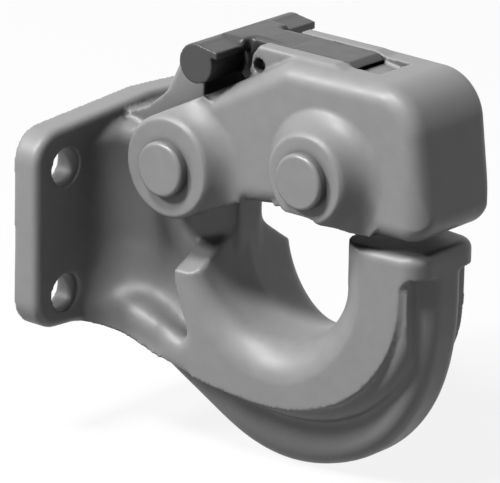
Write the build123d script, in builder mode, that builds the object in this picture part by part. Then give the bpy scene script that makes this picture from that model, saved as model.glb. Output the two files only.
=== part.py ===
"""Pintle hook: a forged hook body on a four-bolt plate, a hinged latch and its T-handled lock.

Millimetres. The origin is the centre of the bolt pattern on the plate's back face,
+X points out of the vehicle through the nose of the latch, +Z is up and the hook is
symmetric about Y = 0. Drawn closed and locked.
"""
import os
from math import cos, radians, sin

from build123d import *

os.makedirs("parts", exist_ok=True)

# Mounting plate
plate_width = 115.0
plate_top = 36.0
plate_bottom = 33.2
plate_crown = 3.0
plate_thick = 10.0
plate_corner = 11.0
plate_edge_round = 2.4
foot_half = 26.0
bolt_spacing_y = 85.7
bolt_spacing_z = 44.45
bolt_hole_d = 13.5

# Pins, by their centres in the side view
hinge_x = 42.9
hinge_z = 26.2
lock_x = 102.2
lock_z = 35.0
pin_d = 19.05
pin_length = 67.4
pin_end_round = 1.4
pin_running = 0.05

# Hook body
core_half = 12.7
shank_half = 15.0
web_half = 9.5
side_root = 30.8
side_tip = 16.3
horn_reach = 139.6
throat_r = 25.7
throat_x = 80.4
throat_z = -2.5
throat_draft = 0.1
crest_z = 7.0
crest_x = 52.9
crest_y = 18.4
crest_height = -6.05
wing_back = 43.9
cove_r = 6.5
cove_sink = 0.2
tip_z = 12.5
tip_thick = 8.0
tip_cove = 5.0
tip_corner = 8.0
tip_edge_round = 3.2
web_edge_round = 6.0
hinge_boss_r = 17.0
flare_r = 17.0
neck_top_round = 7.0
lug_edge_round = 2.0

# Latch
jaw_half = 22.0
jaw_taper = 0.0328
jaw_wide_x = 60.0
boss_face = 30.0
hinge_disc_r = 17.8
lock_disc_r = 15.8
disc_edge_round = 1.2
latch_top = 68.9
nose_x = 144.5
nose_lean = 6.4
nose_bottom = 17.4
nose_corner = 10.0
latch_edge_round = 6.5
knee_round = 12.0
brow_round = 17.0
chin_round = 9.5
slot_half = 8.3
rib_half = 13.6
rib_rise = 1.3
safety_hole_d = 5.0
safety_dx = -33.3
safety_dz = 28.3

# Lock
lock_hub_r = 12.4
tongue_half = 7.8
tongue_top = 69.9
tongue_thick = 2.1
crossbar_r = 6.85
crossbar_x = 51.4
crossbar_z = 63.0
crossbar_half = 25.5
t_plate_thick = 2.6
raised_half = 13.5
raised_rise = 0.5

# Spring
wire_d = 1.8
spring_turns = 2.5
spring_pitch = 2.3
spring_leg = 9.0
fork_half = 4.4

# Named clearances
core_gap = 0.4
lock_gap = 0.4
hub_gap = 0.6
boss_gap = 1.4
ear_gap = 1.2
cavity_half = core_half + core_gap
lock_half = slot_half - lock_gap
bore_r = pin_d / 2 + pin_running
pin_half = pin_length / 2

# Hook body, side view: the narrow outer web from the plate's foot round the belly to the tip,
# and the wide rail that carries the drawbar eye
web_line = [(0, -41), (8, -43.8), (15, -47.6), (24, -53.0), (42, -62.8), (60, -71.6), (80, -75.0),
            (100, -71.2), (112, -65.6), (124, -55.5), (133, -41.5), (138, -25), (horn_reach, -10), (horn_reach, 6)]
rail_line = [(40, -44.1), (54.7, -47.7), (69.3, -50.0), (83.1, -50.9), (96, -49.2), (108, -44.6), (119.1, -36.1),
             (127.5, -24.1), (131.6, -11.2), (132.1, 2.8)]
wing_line = [(wing_back, -9.8), (44.8, -19.1), (47, -28.1), (48.2, -31.7), (46.8, -36.3), (43.8, -38.6), (40, -38.8)]
# Gusset stations: distance from the plate's back, wall half width, shelf height, rim height, foot
gusset = [(3, 33, -19.5, -24, -34), (9, 29.5, -20.4, -25.4, -34.6), (13.6, 23, -22, -27.2, -36.6),
          (22.7, 17, -24, -27.8, -37.5), (32.2, 15, -27.5, -30.1, -40.7), (40.3, 15, -32, -34.1, -43.8),
          (49.3, 15, -36, -38.6, -46.5)]
# The gusset's rims stand out past the side face near the plate and sink into it at the rail
gusset_flare = {3: 8.5, 9: 4.6, 40.3: -0.2, 49.3: -1.2}
# Rounding of the rail's inner edges, by the angle round the throat's centre from +X
throat_rounds = [(180, 4.5), (200, 6), (220, 8), (245, 11), (270, 13), (300, 12), (330, 10.5), (360, 9.5)]
throat_left = throat_x - throat_r
throat_right = throat_x + throat_r
rail_end = rail_line[-1][0]


def side_at(x):
    """Half width of the horn's tapered side faces."""
    return side_root - (side_root - side_tip) * x / horn_reach


def jaw_at(x):
    """Half width of the latch's tapered side walls."""
    return jaw_half - jaw_taper * (x - jaw_wide_x)


def hinge(dx, dz):
    """A side-view point given from the hinge pin's centre."""
    return (hinge_x + dx, hinge_z + dz)


def locking(dx, dz):
    """A side-view point given from the lock pin's centre."""
    return (lock_x + dx, lock_z + dz)


def mirrored(points):
    """Close an outline that starts and ends on the middle plane."""
    return points + [(x, -y) for x, y in reversed(points)]


def mirrored_z(low_half, low, high_half, high):
    """A trapezoid across the middle plane: half widths at its foot and at its top."""
    return [(-low_half, low), (-high_half, high), (high_half, high), (low_half, low)]


def side_plane(x, z):
    """The plan plane through a pin's centre, for shapes turned about the pin."""
    return Plane(origin=(x, 0, z), x_dir=(1, 0, 0), z_dir=(0, 0, 1))


def pin_line(x, z):
    return Axis((x, 0, z), (0, 1, 0))


# The throat as a cutter: a crowned section whose edge rounding grows round the belly, drawn straight up the walls
with BuildPart() as throat:
    for angle, edge_round in throat_rounds:
        out = Vector(cos(radians(angle)), 0, sin(radians(angle)))
        rim_half = side_at(throat_x + (throat_r + edge_round + 2) * out.X)
        rim = throat_r + throat_draft * (rim_half - edge_round) + edge_round
        with BuildSketch(Plane(origin=(throat_x, 0, throat_z), x_dir=out, z_dir=(-out.Z, 0, out.X))):
            with BuildLine():
                crown = Line((throat_r, 0), (rim - edge_round, rim_half - edge_round))
                turn = TangentArc(crown @ 1, (rim, rim_half), tangent=crown % 1)
                Polyline(turn @ 1, (rim, rim_half + 10), (15, rim_half + 10), (15, 0))
                mirror(about=Plane.XZ)
            make_face()
    loft()
    with BuildSketch(Plane.XY.offset(throat_z)):
        add(throat.faces().filter_by(Axis.Z))
    extrude(amount=30)
    with BuildSketch(Plane.XZ):
        with Locations((throat_x, throat_z)):
            Circle(18)
        with Locations((throat_x, throat_z + 15)):
            Rectangle(36, 30)
    extrude(amount=side_root + 10, both=True)

# The flange at the hook's tip, hollowed under its front
with BuildPart() as tip:
    under = tip_z - tip_thick
    with BuildSketch(Plane.XY.offset(under - tip_cove)):
        with BuildLine():
            Polyline(*mirrored([(throat_x, -side_at(throat_x)), (horn_reach, -side_at(horn_reach))]), close=True)
        make_face()
        fillet([v for v in vertices() if v.X > horn_reach - 1], tip_corner)
    extrude(amount=tip_thick + tip_cove)
    fillet([e for e in edges() if abs(e.center().Z - tip_z) < 0.05 and e.center().X > throat_x + 1], tip_edge_round)
    with BuildSketch(Plane.XZ):
        with BuildLine():
            Polyline((rail_end, under - tip_cove), (throat_x, under - tip_cove), (throat_x, tip_z + 1),
                     (horn_reach + 1, tip_z + 1), (horn_reach + 1, under), (rail_end + tip_cove, under))
            ThreePointArc((rail_end + tip_cove, under), (rail_end + tip_cove * (1 - sin(radians(45))),
                                                         under - tip_cove * (1 - sin(radians(45)))),
                          (rail_end, under - tip_cove))
        make_face()
    extrude(amount=side_root, both=True, mode=Mode.INTERSECT)

# The wide rail that the drawbar eye rests on, from the wings behind the throat round to the tip,
# with straight side faces that draw together towards the tip
with BuildPart() as rail:
    with BuildSketch(Plane.XZ):
        with BuildLine():
            outer = Spline(*rail_line)
            Polyline(outer @ 1, (rail_end, under + 1), (throat_x, under + 1), (throat_x, crest_z),
                     (wing_back, crest_z), wing_line[0])
            Spline(*wing_line)
            Line(wing_line[-1], outer @ 0)
        make_face()
    extrude(amount=side_root, both=True)
    with BuildSketch(Plane.XY.offset(-60)):
        with BuildLine():
            Polyline(*mirrored([(0, -side_at(0)), (horn_reach, -side_at(horn_reach))]), close=True)
        make_face()
    extrude(amount=90, mode=Mode.INTERSECT)
    # crests of the wings, sloped down and out
    for side in (-1, 1):
        with BuildSketch(Plane(origin=(crest_x, side * crest_y, crest_height), x_dir=(1, 0, -0.123),
                               z_dir=(0.1, side * 0.57, 0.81))):
            Rectangle(60, 100)
        extrude(amount=60, mode=Mode.SUBTRACT)
    add(tip.part)
    add(throat.part, mode=Mode.SUBTRACT)

# The narrow web round the belly
with BuildPart() as web:
    with BuildSketch(Plane.XZ):
        with BuildLine():
            belly = Spline(*web_line)
            Polyline(belly @ 1, (throat_right + 6, 6), (throat_right + 5, throat_z))
            ThreePointArc((throat_right + 5, throat_z), (throat_x, throat_z - throat_r - 5),
                          (throat_left - 5, throat_z))
            Polyline((throat_left - 5, throat_z), (30, -5), (0, -20), belly @ 0)
        make_face()
    extrude(amount=web_half, both=True)
    fillet([e for e in edges() if e.geom_type == GeomType.BSPLINE and abs(e.center().Y) > 1], web_edge_round)

# Hollow corners between the underside of gusset and rail and the web
with BuildPart() as coves:
    with BuildLine(Plane.XZ):
        along = Spline((14, -36.7), (22.7, -37.5), (32.2, -40.7), *rail_line)
    with BuildSketch(Plane(origin=along @ 0, x_dir=(0, 1, 0), z_dir=along % 0)):
        with BuildLine():
            low = (web_half - cove_sink, cove_sink - cove_r)
            high = (web_half + cove_r - cove_sink, cove_sink)
            Polyline(low, (web_half - 2, low[1]), (web_half - 2, 2), (high[0], 2), high)
            RadiusArc(high, low, cove_r)
        make_face()
        mirror(about=Plane.YZ)
    sweep(path=along)

# Gusset that spreads from the rail to the plate on both sides
def gusset_section(wall, rim, shelf, rim_z, foot):
    """Half outline of a station: hollow from the wall to the shelf, rounded rim, side face."""
    return [(wall - 0.8, shelf + 13), (wall + 0.3, shelf + 7), (wall + 2.1, shelf + 2.6),
            ((wall + rim) / 2 + 0.8, (shelf + rim_z) / 2 + 0.9), (rim - 1.5, rim_z + 0.9), (rim, rim_z - 1.6),
            (rim, rim_z - 4.5), (rim, foot)]

with BuildPart() as gussets:
    for x, wall, shelf, rim_z, foot in gusset:
        right_side = gusset_section(wall, side_at(x) + gusset_flare.get(x, 0), shelf, rim_z, foot)
        left_side = [(-y, z) for y, z in reversed(right_side)]
        with BuildSketch(Plane.YZ.offset(x)):
            with BuildLine():
                Spline(*right_side)
                Line(right_side[-1], left_side[0])
                Spline(*left_side)
                Line(left_side[-1], right_side[0])
            make_face()
    loft()

# The coves, kept inside the web's rounded edge
with BuildPart() as trimmed:
    with BuildSketch(Plane.XZ):
        with BuildLine():
            belly = Spline(*web_line[:-4], (130.5, -42), (134, -25), (134.6, -10), (134.6, 6))
            Polyline(belly @ 1, (throat_x, 6), (throat_x, throat_z - throat_r - 5), (12, throat_z - throat_r - 5),
                     belly @ 0)
        make_face()
    extrude(amount=side_tip, both=True)
    add(coves.part, mode=Mode.INTERSECT)
coves_in_web = trimmed.part

# Shank, flared into the plate, its top edges rounded
with BuildPart() as shank:
    with BuildSketch(Plane.XY.offset(-30)):
        with BuildLine():
            foot = Line((0, -shank_half - flare_r), (plate_thick, -shank_half - flare_r))
            flare = RadiusArc(foot @ 1, (plate_thick + flare_r, -shank_half), flare_r)
            brow = Line(flare @ 1, (40, -shank_half))
            front = Spline(brow @ 1, (46.5, -core_half), (51.6, -9.6), (throat_left, -5.5), tangents=((1, 0), (0.4, 1)))
            Polyline(front @ 1, (throat_left, 0), (0, 0), foot @ 0)
        make_face()
        mirror(about=Plane.XZ)
    extrude(amount=30 + plate_top - 3)
    fillet([e for e in edges() if e.center().Z > plate_top - 3.05 and e.center().X > 1], neck_top_round)

# Upright core between the latch's ears, with the lock's lug on top
with BuildPart() as core:
    with BuildSketch(Plane.XZ):
        with BuildLine():
            lug_back = Spline(hinge(-16.2, 18.5), hinge(-13.5, 23.8), hinge(-11.3, 28.1), hinge(-9.2, 32.7),
                              hinge(-7.5, 36.4))
            lug = Polyline(lug_back @ 1, hinge(-6.2, 37.8), hinge(-4.4, 36.9), hinge(-1.9, 34.9), hinge(0.6, 33.1),
                           hinge(2.3, 31.4), hinge(1.5, 29.3), hinge(1.5, hinge_boss_r - 1))
            ThreePointArc(lug @ 1, hinge(hinge_boss_r * 0.8, hinge_boss_r * 0.6),
                          hinge(hinge_boss_r * 0.98, -hinge_boss_r * 0.2))
            ThreePointArc(hinge(hinge_boss_r * 0.98, -hinge_boss_r * 0.2), hinge(hinge_boss_r * 0.8, -hinge_boss_r * 0.6),
                          hinge(3.6, -hinge_boss_r * 0.976))
            Polyline(hinge(3.6, -hinge_boss_r * 0.976), (46.5, -20), (0, -20), (0, 34), (12, 35.5), (20, 39),
                     lug_back @ 0)
        make_face()
    extrude(amount=core_half, both=True)
    fillet([e for e in edges() if e.geom_type == GeomType.BSPLINE and abs(e.center().Y) > 1], lug_edge_round)

# The hook body
with BuildPart() as hook_body:
    with BuildSketch(Plane.YZ):
        with BuildLine():
            Polyline((-plate_width / 2, -plate_bottom), (-foot_half - 12, -plate_bottom - 1.2),
                     (-foot_half, -plate_bottom - 3.6), (-web_half, -plate_bottom - 7.5),
                     (web_half, -plate_bottom - 7.5), (foot_half, -plate_bottom - 3.6),
                     (foot_half + 12, -plate_bottom - 1.2), (plate_width / 2, -plate_bottom),
                     (plate_width / 2, plate_top - 0.5), (0, plate_top + plate_crown),
                     (-plate_width / 2, plate_top - 0.5), close=True)
        make_face()
        fillet([v for v in vertices() if abs(v.X) > plate_width / 2 - 1], plate_corner)
    extrude(amount=plate_thick)
    fillet(faces().sort_by(Axis.X)[-1].edges(), plate_edge_round)

    add(web.part)
    add(rail.part)
    add(coves_in_web)
    add(gussets.part)

    add(shank.part)
    # room for the latch's ears to turn beside the core
    for side in (-1, 1):
        with BuildSketch(Plane.XZ.offset(-side * core_half)):
            with Locations((hinge_x, hinge_z)):
                Circle(hinge_disc_r + ear_gap)
            with BuildLine():
                Polyline(hinge(-hinge_disc_r - ear_gap, 0), hinge(-hinge_disc_r - ear_gap, 40), hinge(20, 40),
                         hinge(20, 0), close=True)
            make_face()
        extrude(amount=-side * 40, mode=Mode.SUBTRACT)
    add(core.part)

    # bores
    with Locations(Plane.YZ):
        with GridLocations(bolt_spacing_y, bolt_spacing_z, 2, 2):
            Hole(bolt_hole_d / 2)
    with BuildSketch(Plane.XZ):
        with Locations((hinge_x, hinge_z)):
            Circle(bore_r)
    extrude(amount=core_half + 5, both=True, mode=Mode.SUBTRACT)
hook_body.part.label = "hook_body"

# The latch: outline in the side view, every corner rounded
with BuildPart() as latch_outline:
    with BuildSketch(Plane.XZ):
        with BuildLine():
            slope = radians(28.4)
            top_start = hinge(-hinge_disc_r * sin(slope), hinge_disc_r * cos(slope))
            knee_x = top_start[0] + (latch_top - top_start[1]) * cos(slope) / sin(slope)
            ear_end = hinge(hinge_disc_r * 0.6, -hinge_disc_r * 0.8)
            Polyline(top_start, (knee_x, latch_top), (nose_x - nose_lean, latch_top), (nose_x, nose_bottom),
                     locking(10.8, nose_bottom - lock_z), locking(3.8, -12.5), locking(-9.2, -12.5),
                     locking(-20.2, -16.1), hinge(24.1, -9.2), ear_end)
            ThreePointArc(ear_end, hinge(-hinge_disc_r, 0), top_start)
        make_face()
        fillet(vertices().sort_by_distance((knee_x, latch_top))[0], knee_round)
        fillet(vertices().sort_by_distance((nose_x - nose_lean, latch_top))[0], brow_round)
        fillet(vertices().sort_by_distance((nose_x, nose_bottom))[0], chin_round)
        fillet([v for v in vertices() if v.Y < lock_z - 12 and hinge_x + 15 < v.X < nose_x - 25], 7.5)
    extrude(amount=boss_face + 5, both=True)

# A pin boss: disc with a long hollow slope down to the jaw's wall
def boss(x, z, disc_r, spread):
    wall = jaw_at(x + disc_r + spread)
    with BuildPart() as turned:
        with BuildSketch(side_plane(x, z)):
            with BuildLine():
                rim = Polyline((0, wall - 3), (0, boss_face), (disc_r - disc_edge_round, boss_face),
                               (disc_r, boss_face - disc_edge_round))
                foot = Spline(rim @ 1, (disc_r + spread * 0.35, wall + 2.6), (disc_r + spread, wall - 0.2),
                              tangents=((0.45, -1), (1, -0.08)))
                Polyline(foot @ 1, (disc_r + spread, wall - 3), rim @ 0)
            make_face()
            mirror(about=Plane.XZ)
        revolve(axis=pin_line(x, z))
        add(latch_outline.part, mode=Mode.INTERSECT)
    return turned.part

with BuildPart() as jaw:
    add(latch_outline.part)
    with BuildSketch(Plane.XY):
        with BuildLine():
            Polyline(*mirrored([(0, -jaw_at(0)), (nose_x + 5, -jaw_at(nose_x + 5))]), close=True)
        make_face()
    extrude(amount=latch_top + 10, mode=Mode.INTERSECT)
    side_edges = [e for e in edges() if abs(abs(e.center().Y) - jaw_at(e.center().X)) < 0.4]
    fillet(side_edges, latch_edge_round)

with BuildPart() as latch:
    with BuildSketch(Plane.XY):
        with BuildLine():
            Polyline(*mirrored([(0, -jaw_at(0)), (nose_x, -jaw_at(nose_x))]), close=True)
        make_face()
        fillet([v for v in vertices() if v.X > nose_x - 1], nose_corner)
    extrude(amount=latch_top + 10)
    add(jaw.part, mode=Mode.INTERSECT)
    # ribs along both sides of the lock's slot
    with BuildSketch(Plane.XZ):
        with BuildLine():
            Polyline(hinge(22, 34), hinge(23.2, 40.2), hinge(26, latch_top + rib_rise - hinge_z),
                     locking(-2, latch_top + rib_rise - lock_z), locking(4, latch_top - lock_z - 0.3),
                     locking(4, 25), hinge(27, 25), close=True)
        make_face()
    extrude(amount=rib_half, both=True)
    rib_tops = [e for e in edges() if abs(abs(e.center().Y) - rib_half) < 0.05
                and e.center().Z > latch_top + rib_rise - 0.05]
    fillet(rib_tops, 1.2)
    # bosses at both pins, kept inside the jaw's outline
    for x, z, disc_r, spread in ((hinge_x, hinge_z, hinge_disc_r, 8.5), (lock_x, lock_z, lock_disc_r, 10.5)):
        add(boss(x, z, disc_r, spread))
    # cavity for the body's core and the slot for the lock
    with BuildSketch(Plane.XZ):
        with BuildLine():
            Polyline(hinge(-35, 60), hinge(20, 60), hinge(23.1, 39.8), hinge(22.6, 35.8), hinge(24.4, 32.6),
                     hinge(26.9, 26.3), hinge(26.9, 17.8), hinge(19.2, 9.8), hinge(hinge_boss_r + boss_gap, 0),
                     hinge(hinge_boss_r + boss_gap, -40), hinge(-35, -40), close=True)
        make_face()
    extrude(amount=cavity_half, both=True, mode=Mode.SUBTRACT)
    with BuildSketch(Plane.XZ):
        with BuildLine():
            Polyline(hinge(17, 60), locking(13.4, 45), locking(13.4, latch_top - lock_z + 0.1),
                     locking(12.9, latch_top - lock_z - 3.9), locking(2.0, latch_top - lock_z - 2.1),
                     locking(lock_hub_r + 1.2, 12), locking(lock_hub_r + 0.6, 0), locking(-12.1, -4.8),
                     locking(-28.6, 7.1), locking(-36, 11.5), close=True)
        make_face()
        with Locations((lock_x, lock_z)):
            Circle(lock_hub_r + hub_gap)
    extrude(amount=slot_half, both=True, mode=Mode.SUBTRACT)
    # pin holes, pressed on the pins, and the hole for a safety pin
    with BuildSketch(Plane.XZ):
        with Locations((hinge_x, hinge_z), (lock_x, lock_z)):
            Circle(pin_d / 2)
    extrude(amount=boss_face + 5, both=True, mode=Mode.SUBTRACT)
    with BuildSketch(Plane.XZ):
        with Locations(locking(safety_dx, safety_dz)):
            Circle(safety_hole_d / 2)
    extrude(amount=rib_half + 1, both=True, mode=Mode.SUBTRACT)
latch.part.label = "latch"


def pin(x, z, name):
    """A plain pin across the latch, both ends rounded."""
    with BuildPart() as turned:
        with BuildSketch(Plane.XZ):
            with Locations((x, z)):
                Circle(pin_d / 2)
        extrude(amount=pin_half, both=True)
        fillet(edges().filter_by(GeomType.CIRCLE), pin_end_round)
    turned.part.label = name
    return turned.part


latch_pin = pin(hinge_x, hinge_z, "latch_pin")
lock_pin = pin(lock_x, lock_z, "lock_pin")

# The lock: forked hub, web, tongue, T plate and crossbar in one casting
with BuildPart() as lock:
    with BuildSketch(Plane.XZ):
        with BuildLine():
            Polyline(locking(-11.7, -4), locking(-28.2, 8.0), locking(-38.2, 14.6), (crossbar_x + 4.3, crossbar_z - 5.6),
                     (crossbar_x, crossbar_z), (crossbar_x, crossbar_z + 5), locking(-39, tongue_top - lock_z - 1),
                     locking(-9.2, tongue_top - lock_z - 1), locking(-9.2, 29), locking(8.3, 11), locking(11.7, 4),
                     close=True)
        make_face()
        with Locations((lock_x, lock_z)):
            Circle(lock_hub_r)
    extrude(amount=lock_half, both=True)
    with BuildSketch(Plane.XZ):
        with BuildLine():
            Polyline((crossbar_x + 4, tongue_top - tongue_thick), locking(2.3, tongue_top - tongue_thick - lock_z),
                     locking(2.3, tongue_top - tongue_thick - lock_z + 0.3), locking(-0.3, tongue_top - lock_z),
                     (crossbar_x + 4, tongue_top), close=True)
        make_face()
    extrude(amount=tongue_half, both=True)
    # T plate, stepped up in the middle, over the crossbar
    with BuildSketch(Plane.XZ):
        with BuildLine():
            Polyline((crossbar_x - 0.3, crossbar_z + crossbar_r), (crossbar_x + 9.1, crossbar_z + crossbar_r - 1.4),
                     (crossbar_x + 9.1, crossbar_z + crossbar_r - 1.4 - t_plate_thick),
                     (crossbar_x, crossbar_z + crossbar_r - t_plate_thick), close=True)
        make_face()
    extrude(amount=crossbar_half, both=True)
    with BuildSketch(Plane.XZ):
        with Locations((crossbar_x, crossbar_z)):
            Circle(crossbar_r)
    extrude(amount=crossbar_half, both=True)
    with BuildSketch(Plane.YZ.offset(crossbar_x - 0.4)):
        with BuildLine():
            Polyline(*mirrored_z(raised_half, crossbar_z + 4, raised_half - 2.2, tongue_top + raised_rise), close=True)
        make_face()
    extrude(amount=9.3)
    with BuildSketch(Plane.YZ.offset(crossbar_x + 8)):
        with BuildLine():
            Polyline(*mirrored_z(tongue_half, tongue_top - 1.2, tongue_half - 2.6, tongue_top + raised_rise), close=True)
        make_face()
    extrude(amount=18)
    with BuildSketch(Plane.XZ):
        with BuildLine():
            Polyline((crossbar_x + 14, tongue_top + raised_rise), (crossbar_x + 26.1, tongue_top - 0.1),
                     (crossbar_x + 26.1, tongue_top + 3), (crossbar_x + 14, tongue_top + 3), close=True)
        make_face()
    extrude(amount=raised_half, both=True, mode=Mode.SUBTRACT)
    # fork for the spring, bore and safety pin hole
    with BuildSketch(Plane.XZ):
        with Locations((lock_x, lock_z)):
            Circle(lock_hub_r + 2.6)
    extrude(amount=fork_half, both=True, mode=Mode.SUBTRACT)
    with BuildSketch(Plane.XZ):
        with Locations((lock_x, lock_z)):
            Circle(bore_r)
        with Locations(locking(safety_dx, safety_dz)):
            Circle(safety_hole_d / 2)
    extrude(amount=30, both=True, mode=Mode.SUBTRACT)
lock.part.label = "lock"

# Torsion spring between the hub's cheeks: one leg up against the latch in front, one under the lock
coil_r = pin_d / 2 + wire_d / 2 + 0.75
coil_length = spring_pitch * spring_turns
with BuildPart() as wound:
    with BuildLine():
        coil = Helix(pitch=spring_pitch, height=coil_length, radius=coil_r, center=(0, 0, -coil_length / 2))
    with BuildSketch(Plane(origin=coil @ 0, z_dir=coil % 0)):
        Circle(wire_d / 2)
    sweep(path=coil)
    for end in (coil @ 0, coil @ 1):
        with BuildSketch(Plane(origin=end, z_dir=(0, -1, 0))):
            Circle(wire_d / 2)
        extrude(amount=spring_leg)
lock_spring = Location(Plane(origin=(lock_x, 0, lock_z), x_dir=(1, 0, 0), z_dir=(0, 1, 0))) * wound.part
lock_spring.label = "lock_spring"

export_step(hook_body.part, "parts/hook_body.step")
export_step(latch.part, "parts/latch.step")
export_step(latch_pin, "parts/latch_pin.step")
export_step(lock.part, "parts/lock.step")
export_step(lock_pin, "parts/lock_pin.step")
export_step(lock_spring, "parts/lock_spring.step")
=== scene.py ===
"""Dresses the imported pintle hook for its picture: satin forged steel, a darker cast lock,
a pale floor and soft studio light. Metres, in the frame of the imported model."""
from math import cos, radians, sin

import bmesh
import bpy
import numpy as np
from mathutils import Euler, Matrix, Vector


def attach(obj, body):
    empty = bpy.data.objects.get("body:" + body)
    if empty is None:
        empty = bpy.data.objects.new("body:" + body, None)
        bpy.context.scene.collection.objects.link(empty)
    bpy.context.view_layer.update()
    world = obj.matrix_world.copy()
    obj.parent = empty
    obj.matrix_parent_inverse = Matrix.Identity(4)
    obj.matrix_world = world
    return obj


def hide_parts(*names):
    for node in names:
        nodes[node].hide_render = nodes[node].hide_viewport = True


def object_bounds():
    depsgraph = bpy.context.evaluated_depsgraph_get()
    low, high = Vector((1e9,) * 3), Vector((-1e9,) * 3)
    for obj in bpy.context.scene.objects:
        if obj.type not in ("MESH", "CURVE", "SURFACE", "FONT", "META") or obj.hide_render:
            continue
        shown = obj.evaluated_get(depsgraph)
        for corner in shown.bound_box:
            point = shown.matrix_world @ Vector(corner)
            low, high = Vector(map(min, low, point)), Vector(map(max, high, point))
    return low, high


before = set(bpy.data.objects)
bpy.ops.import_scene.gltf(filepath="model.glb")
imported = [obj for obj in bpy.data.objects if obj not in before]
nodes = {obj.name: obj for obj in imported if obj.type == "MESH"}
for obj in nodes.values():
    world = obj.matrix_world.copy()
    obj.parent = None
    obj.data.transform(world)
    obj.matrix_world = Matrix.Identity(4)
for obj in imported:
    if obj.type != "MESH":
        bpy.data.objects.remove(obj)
cad_box = [list(corner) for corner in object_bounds()]
scene = bpy.context.scene


# Shader building
def link(tree, start, end):
    tree.links.new(start, end)


def add_node(tree, kind, **settings):
    made = tree.nodes.new(kind)
    for name, value in settings.items():
        setattr(made, name, value)
    return made


def give(tree, socket, value):
    """Set a socket to a number or colour, or link it to another node's output."""
    if isinstance(value, (int, float, tuple)):
        socket.default_value = value
    else:
        link(tree, value, socket)


def effect_group(name, inputs, outputs):
    """A shader node group. Its inputs are name, socket type and default, its outputs name and type."""
    group = bpy.data.node_groups.new(name, "ShaderNodeTree")
    for label, kind, default in inputs:
        socket = group.interface.new_socket(name=label, in_out="INPUT", socket_type=kind)
        socket.default_value = default
    for label, kind in outputs:
        group.interface.new_socket(name=label, in_out="OUTPUT", socket_type=kind)
    return group, add_node(group, "NodeGroupInput"), add_node(group, "NodeGroupOutput")


def noise(tree, where, scale, detail, roughness):
    made = add_node(tree, "ShaderNodeTexNoise")
    link(tree, where, made.inputs["Vector"])
    give(tree, made.inputs["Scale"], scale)
    made.inputs["Detail"].default_value = detail
    made.inputs["Roughness"].default_value = roughness
    return made.outputs["Fac"]


def math_node(tree, operation, first, second, clamp=False):
    made = add_node(tree, "ShaderNodeMath", operation=operation, use_clamp=clamp)
    give(tree, made.inputs[0], first)
    give(tree, made.inputs[1], second)
    return made.outputs[0]


def mix_colour(tree, factor, first, second, blend="MIX"):
    made = add_node(tree, "ShaderNodeMix", data_type="RGBA", blend_type=blend)
    give(tree, made.inputs["Factor"], factor)
    give(tree, made.inputs["A"], first)
    give(tree, made.inputs["B"], second)
    return made.outputs["Result"]


def map_range(tree, value, given_range, result_range):
    made = add_node(tree, "ShaderNodeMapRange")
    link(tree, value, made.inputs["Value"])
    made.inputs["From Min"].default_value, made.inputs["From Max"].default_value = given_range
    made.inputs["To Min"].default_value, made.inputs["To Max"].default_value = result_range
    return made.outputs["Result"]


def build_forged_skin():
    """Fine shot-blasted grain over the soft waves of a forging."""
    group, given, result = effect_group(
        "forged skin",
        [("Object Vector", "NodeSocketVector", (0, 0, 0)), ("Grain Scale", "NodeSocketFloat", 900.0),
         ("Grain Depth", "NodeSocketFloat", 0.25), ("Wave Scale", "NodeSocketFloat", 60.0),
         ("Mottle Scale", "NodeSocketFloat", 170.0)],
        [("Height", "NodeSocketFloat"), ("Mottle", "NodeSocketFloat")])
    where = given.outputs["Object Vector"]
    grain = noise(group, where, given.outputs["Grain Scale"], 4.0, 0.6)
    wave = noise(group, where, given.outputs["Wave Scale"], 2.0, 0.4)
    fine = math_node(group, "MULTIPLY", grain, given.outputs["Grain Depth"])
    link(group, math_node(group, "ADD", fine, wave), result.inputs["Height"])
    mottle = noise(group, where, given.outputs["Mottle Scale"], 5.0, 0.62)
    link(group, mottle, result.inputs["Mottle"])
    return group


def build_edge_wear():
    """A mask of the edges, where the steel is rubbed bright, broken up by noise."""
    group, given, result = effect_group(
        "edge wear",
        [("Object Vector", "NodeSocketVector", (0, 0, 0)), ("Radius", "NodeSocketFloat", 0.0008),
         ("Sharpness", "NodeSocketFloat", 9.0), ("Patch Scale", "NodeSocketFloat", 320.0),
         ("Amount", "NodeSocketFloat", 0.6)],
        [("Mask", "NodeSocketFloat")])
    rounded = add_node(group, "ShaderNodeBevel", samples=4)
    link(group, given.outputs["Radius"], rounded.inputs["Radius"])
    straight = add_node(group, "ShaderNodeNewGeometry")
    meet = add_node(group, "ShaderNodeVectorMath", operation="DOT_PRODUCT")
    link(group, rounded.outputs["Normal"], meet.inputs[0])
    link(group, straight.outputs["Normal"], meet.inputs[1])
    off = math_node(group, "SUBTRACT", 1.0, meet.outputs["Value"])
    sharp = math_node(group, "MULTIPLY", off, given.outputs["Sharpness"], clamp=True)
    patch = noise(group, given.outputs["Object Vector"], given.outputs["Patch Scale"], 4.0, 0.6)
    broken = math_node(group, "MULTIPLY", sharp, patch)
    mask = math_node(group, "MULTIPLY", broken, given.outputs["Amount"], clamp=True)
    link(group, mask, result.inputs["Mask"])
    return group


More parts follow.
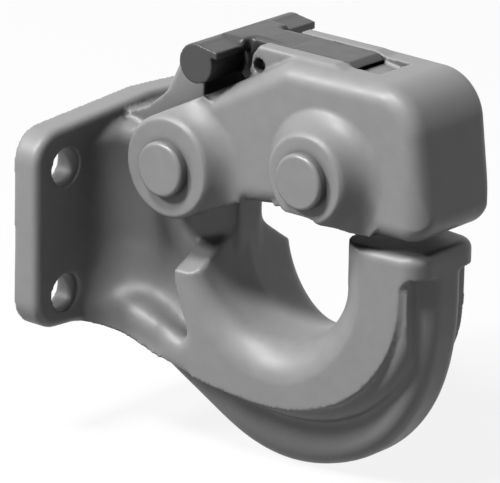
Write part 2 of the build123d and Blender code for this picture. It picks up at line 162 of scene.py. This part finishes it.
def build_painted_hollow_shade():
    """Painted shade: a colour that darkens in hollows sheltered from open air, standing in for the shade
    that falls there.
    """
    group, given, result = effect_group(
        "painted hollow shade",
        [("Unshaded Colour", "NodeSocketColor", (0.5, 0.5, 0.5, 1)), ("Reach", "NodeSocketFloat", 0.03),
         ("Darkening", "NodeSocketColor", (0.3, 0.3, 0.3, 1))],
        [("Colour", "NodeSocketColor")])
    shelter = add_node(group, "ShaderNodeAmbientOcclusion", samples=8)
    link(group, given.outputs["Reach"], shelter.inputs["Distance"])
    open_share = map_range(group, shelter.outputs["AO"], (0.35, 0.9), (0.0, 1.0))
    shaded_colour = mix_colour(group, 1.0, given.outputs["Unshaded Colour"], given.outputs["Darkening"], "MULTIPLY")
    shaded_in_hollows = mix_colour(group, open_share, shaded_colour, given.outputs["Unshaded Colour"])
    link(group, shaded_in_hollows, result.inputs["Colour"])
    return group


forged_skin = build_forged_skin()
edge_wear = build_edge_wear()
painted_hollow_shade = build_painted_hollow_shade()
mottle_range = (0.3, 0.7)
mottle_share = 0.12
smoother = 0.04
rougher = 0.05


def grey(level):
    return (level, level, level, 1)


def steel(name, level, worn_level, rough, metal=0.0, sheen=0.65, bump=0.00006):
    """Satin steel: mottled base, brighter rubbed edges, painted shade in hollows, grain in the bump."""
    material = bpy.data.materials.new(name)
    material.use_nodes = True
    tree = material.node_tree
    shader = tree.nodes["Principled BSDF"]
    place = add_node(tree, "ShaderNodeTexCoord").outputs["Object"]
    skin = add_node(tree, "ShaderNodeGroup", node_tree=forged_skin)
    link(tree, place, skin.inputs["Object Vector"])
    edges = add_node(tree, "ShaderNodeGroup", node_tree=edge_wear)
    link(tree, place, edges.inputs["Object Vector"])
    ground = mix_colour(tree, skin.outputs["Mottle"], grey(level * (1 - mottle_share)),
                        grey(level * (1 + mottle_share)))
    rubbed = mix_colour(tree, edges.outputs["Mask"], ground, grey(worn_level))
    # Painted shade: ambient occlusion darkens the base colour in hollows and under overhanging parts
    hollows = add_node(tree, "ShaderNodeGroup", node_tree=painted_hollow_shade)
    link(tree, rubbed, hollows.inputs["Unshaded Colour"])
    link(tree, hollows.outputs["Colour"], shader.inputs["Base Color"])
    spread = map_range(tree, skin.outputs["Mottle"], mottle_range, (rough - smoother, rough + rougher))
    link(tree, spread, shader.inputs["Roughness"])
    relief = add_node(tree, "ShaderNodeBump")
    relief.inputs["Strength"].default_value = 1.0
    relief.inputs["Distance"].default_value = bump
    link(tree, skin.outputs["Height"], relief.inputs["Height"])
    link(tree, relief.outputs["Normal"], shader.inputs["Normal"])
    shader.inputs["Specular IOR Level"].default_value = sheen
    shader.inputs["Metallic"].default_value = metal
    return material


forging = steel("satin forging", 0.25, 0.42, 0.46)
latch_forging = steel("latch forging", 0.25, 0.42, 0.46)
pin_steel = steel("pin steel", 0.24, 0.4, 0.34, bump=0.00003)
lock_casting = steel("dark casting", 0.05, 0.16, 0.38, sheen=0.5)
spring_wire = steel("spring wire", 0.2, 0.4, 0.35, metal=0.6)

for node, material in (("latch_pin", pin_steel), ("lock_pin", pin_steel), ("lock_spring", spring_wire)):
    for holder in nodes[node].material_slots:
        holder.material = material


# Eased skins over the hook body, the latch and the lock
join_distance = 0.000001
skin_turn = Euler((0.5, 0.62, 0.7)).to_matrix().to_4x4()
swell_share = 0.9
spot_steepness = 1.6
least_share = 0.01
boss_face = 0.030
plug_foot = 0.024
plug_radius = 0.0097
pin_places = [(0.0429, 0.0262), (0.1022, 0.0350)]


def baked(piece):
    """Apply a piece's modifiers to its mesh."""
    graph = bpy.context.evaluated_depsgraph_get()
    made = bpy.data.meshes.new_from_object(piece.evaluated_get(graph))
    piece.modifiers.clear()
    piece.data = made


def object_from(shape, name):
    mesh = bpy.data.meshes.new(name)
    shape.to_mesh(mesh)
    made = bpy.data.objects.new(name, mesh)
    scene.collection.objects.link(made)
    return made


def plug_holes(shape, places):
    """Close the pins' holes at their outer ends, so that the skin runs flat up to each pin."""
    for x, z in places:
        for side in (-1, 1):
            middle_of_plug = Matrix.Translation((x, side * (boss_face + plug_foot) / 2, z))
            bmesh.ops.create_cone(shape, cap_ends=True, segments=64, radius1=plug_radius,
                                  radius2=plug_radius, depth=boss_face - plug_foot,
                                  matrix=middle_of_plug @ Matrix.Rotation(radians(90), 4, "X"))


def even_skin(shape, name, cell):
    """One skin of even cells over a closed shape, at a slant, so that no straight edge runs along them."""
    shape.transform(skin_turn)
    piece = object_from(shape, name)
    skin = piece.modifiers.new("skin", "REMESH")
    skin.mode = "VOXEL"
    skin.voxel_size = cell
    skin.use_smooth_shade = True
    baked(piece)
    piece.data.transform(skin_turn.inverted())
    return piece


def draw_on(piece, guide, cell):
    """Swell a skin past the guide's edges, then draw it in on to the guide's surface."""
    swell = piece.modifiers.new("swell", "DISPLACE")
    swell.mid_level = 0
    swell.strength = cell * swell_share
    wrap = piece.modifiers.new("draw on", "SHRINKWRAP")
    wrap.target = guide


def ease(piece, name, passes, group=None):
    smooth = piece.modifiers.new(name, "SMOOTH")
    smooth.factor = 0.5
    smooth.iterations = passes
    if group:
        smooth.vertex_group = group.name


def ease_spots(piece, places, soft_spots):
    """Ease each soft spot further: middle, reach and passes, given on the near side for both sides."""
    for number, (middle, reach, passes) in enumerate(soft_spots):
        depth = 1 - (((places - middle) / reach) ** 2).sum(axis=1)
        share = np.clip(spot_steepness * depth, 0, 1)
        group = piece.vertex_groups.new(name="spot %d" % number)
        for index in np.nonzero(share > least_share)[0]:
            group.add([int(index)], float(share[index]), "REPLACE")
        ease(piece, group.name, passes, group)


def near_side(piece):
    """The places of a piece's vertices, with those of the far side mirrored to the near one."""
    places = np.empty(len(piece.data.vertices) * 3)
    piece.data.vertices.foreach_get("co", places)
    places = places.reshape(-1, 3)
    places[:, 1] = -abs(places[:, 1])
    return places


def forged_piece(node, body, material, cell, passes, soft_spots, pins=()):
    """A skin that stands for a node, its edges and hollows eased as a die or a mould leaves them."""
    shape = bmesh.new()
    shape.from_mesh(nodes[node].data)
    bmesh.ops.remove_doubles(shape, verts=shape.verts, dist=join_distance)
    plug_holes(shape, pins)
    guide = object_from(shape, "guide")
    piece = even_skin(shape, node + "_forging", cell)
    shape.free()
    draw_on(piece, guide, cell)
    ease(piece, "edges", passes)
    ease_spots(piece, near_side(piece), soft_spots)
    baked(piece)
    bpy.data.objects.remove(guide)
    piece.data.materials.clear()
    piece.data.materials.append(material)
    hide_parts(node)
    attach(piece, body)


# Hollows between neck, plate and gusset, round the bosses' feet and under the crossbar
neck_spots = [((0.049, -0.014, -0.001), (0.013, 0.015, 0.013), 25),
              ((0.020, -0.022, -0.020), (0.026, 0.020, 0.016), 60),
              ((0.046, -0.026, -0.034), (0.010, 0.006, 0.016), 60)]
boss_spots = [((0.066, -0.024, 0.028), (0.014, 0.0058, 0.014), 60),
              ((0.102, -0.024, 0.039), (0.023, 0.0058, 0.021), 40)]
bar_spots = [((0.0585, -0.009, 0.0665), (0.007, 0.006, 0.006), 30)]
forged_piece("hook_body", "hook", forging, 0.00092, 3, neck_spots)
forged_piece("latch", "latch", latch_forging, 0.00073, 2, boss_spots, pin_places)
forged_piece("lock", "lock", lock_casting, 0.0005, 5, bar_spots)

# Floor, surroundings and lamps
floor_reach = 3.0
floor_grey = 0.1
floor_glow = 0.88
floor_rough = 0.9
world_fill = 0.01
lamp_distance = 2.2
lamp_size = 0.45
middle = Vector((0.07, 0.0, 0.0))


def seen_by_eye(tree, shown, hidden):
    """A value that is shown for camera, glossy and transmission rays, and hidden for the rest."""
    path = add_node(tree, "ShaderNodeLightPath")
    either = math_node(tree, "MAXIMUM", path.outputs["Is Camera Ray"], path.outputs["Is Glossy Ray"])
    either = math_node(tree, "MAXIMUM", either, path.outputs["Is Transmission Ray"])
    return math_node(tree, "ADD", math_node(tree, "MULTIPLY", either, shown - hidden), hidden)


def build_floor(level):
    """A plain pale floor: it looks white, lights the object little and keeps its shadow."""
    mesh = bpy.data.meshes.new("floor")
    corners = [(x * floor_reach, y * floor_reach, level) for x, y in ((-1, -1), (1, -1), (1, 1), (-1, 1))]
    mesh.from_pydata(corners, [], [(0, 1, 2, 3)])
    floor = bpy.data.objects.new("floor", mesh)
    scene.collection.objects.link(floor)
    paint = bpy.data.materials.new("pale floor")
    paint.use_nodes = True
    tree = paint.node_tree
    shader = tree.nodes["Principled BSDF"]
    shader.inputs["Base Color"].default_value = grey(floor_grey)
    shader.inputs["Roughness"].default_value = floor_rough
    shader.inputs["Specular IOR Level"].default_value = 0.0
    shader.inputs["Emission Color"].default_value = grey(1)
    link(tree, seen_by_eye(tree, floor_glow, 0.0), shader.inputs["Emission Strength"])
    mesh.materials.append(paint)


def build_world():
    """White surroundings that hardly light the object."""
    world = bpy.data.worlds.new("studio")
    world.use_nodes = True
    scene.world = world
    tree = world.node_tree
    background = tree.nodes["Background"]
    background.inputs["Color"].default_value = grey(1)
    link(tree, seen_by_eye(tree, 1.0, world_fill), background.inputs["Strength"])


def soft_lamp(name, direction, power):
    """A round lamp in a direction from the object's middle, aimed back at it."""
    data = bpy.data.lights.new(name, "AREA")
    data.shape = "DISK"
    data.size = lamp_size
    data.energy = power
    lamp = bpy.data.objects.new(name, data)
    scene.collection.objects.link(lamp)
    lamp.location = middle + Vector(direction).normalized() * lamp_distance
    lamp.rotation_euler = (middle - lamp.location).to_track_quat("-Z", "Y").to_euler()


build_floor(cad_box[0][2])
build_world()
soft_lamp("overhead", (-0.08, -0.50, 0.86), 39.0)
soft_lamp("side", (-0.43, -0.67, 0.61), 37.0)

# Camera at the photograph's viewing angle, with a long lens
camera_place = Vector((1.078563, -1.222201, 0.537436))
azimuth = radians(39.95)
elevation = radians(18.77)
roll = radians(0.93)
right = Vector((cos(azimuth), sin(azimuth), 0))
back = Vector((sin(azimuth) * cos(elevation), -cos(azimuth) * cos(elevation), sin(elevation)))
up = back.cross(right)
turned_right = right * cos(roll) + up * sin(roll)
turned_up = up * cos(roll) - right * sin(roll)
turn = Matrix((turned_right, turned_up, back)).transposed().to_4x4()
camera_data = bpy.data.cameras.new("camera")
camera_data.lens = 360.0
camera_data.sensor_width = 36.0
camera_data.clip_start = 0.05
camera_data.clip_end = 50.0
camera = bpy.data.objects.new("camera", camera_data)
camera.matrix_world = Matrix.Translation(camera_place) @ turn
scene.collection.objects.link(camera)
scene.camera = camera

scene.view_settings.view_transform = "Standard"
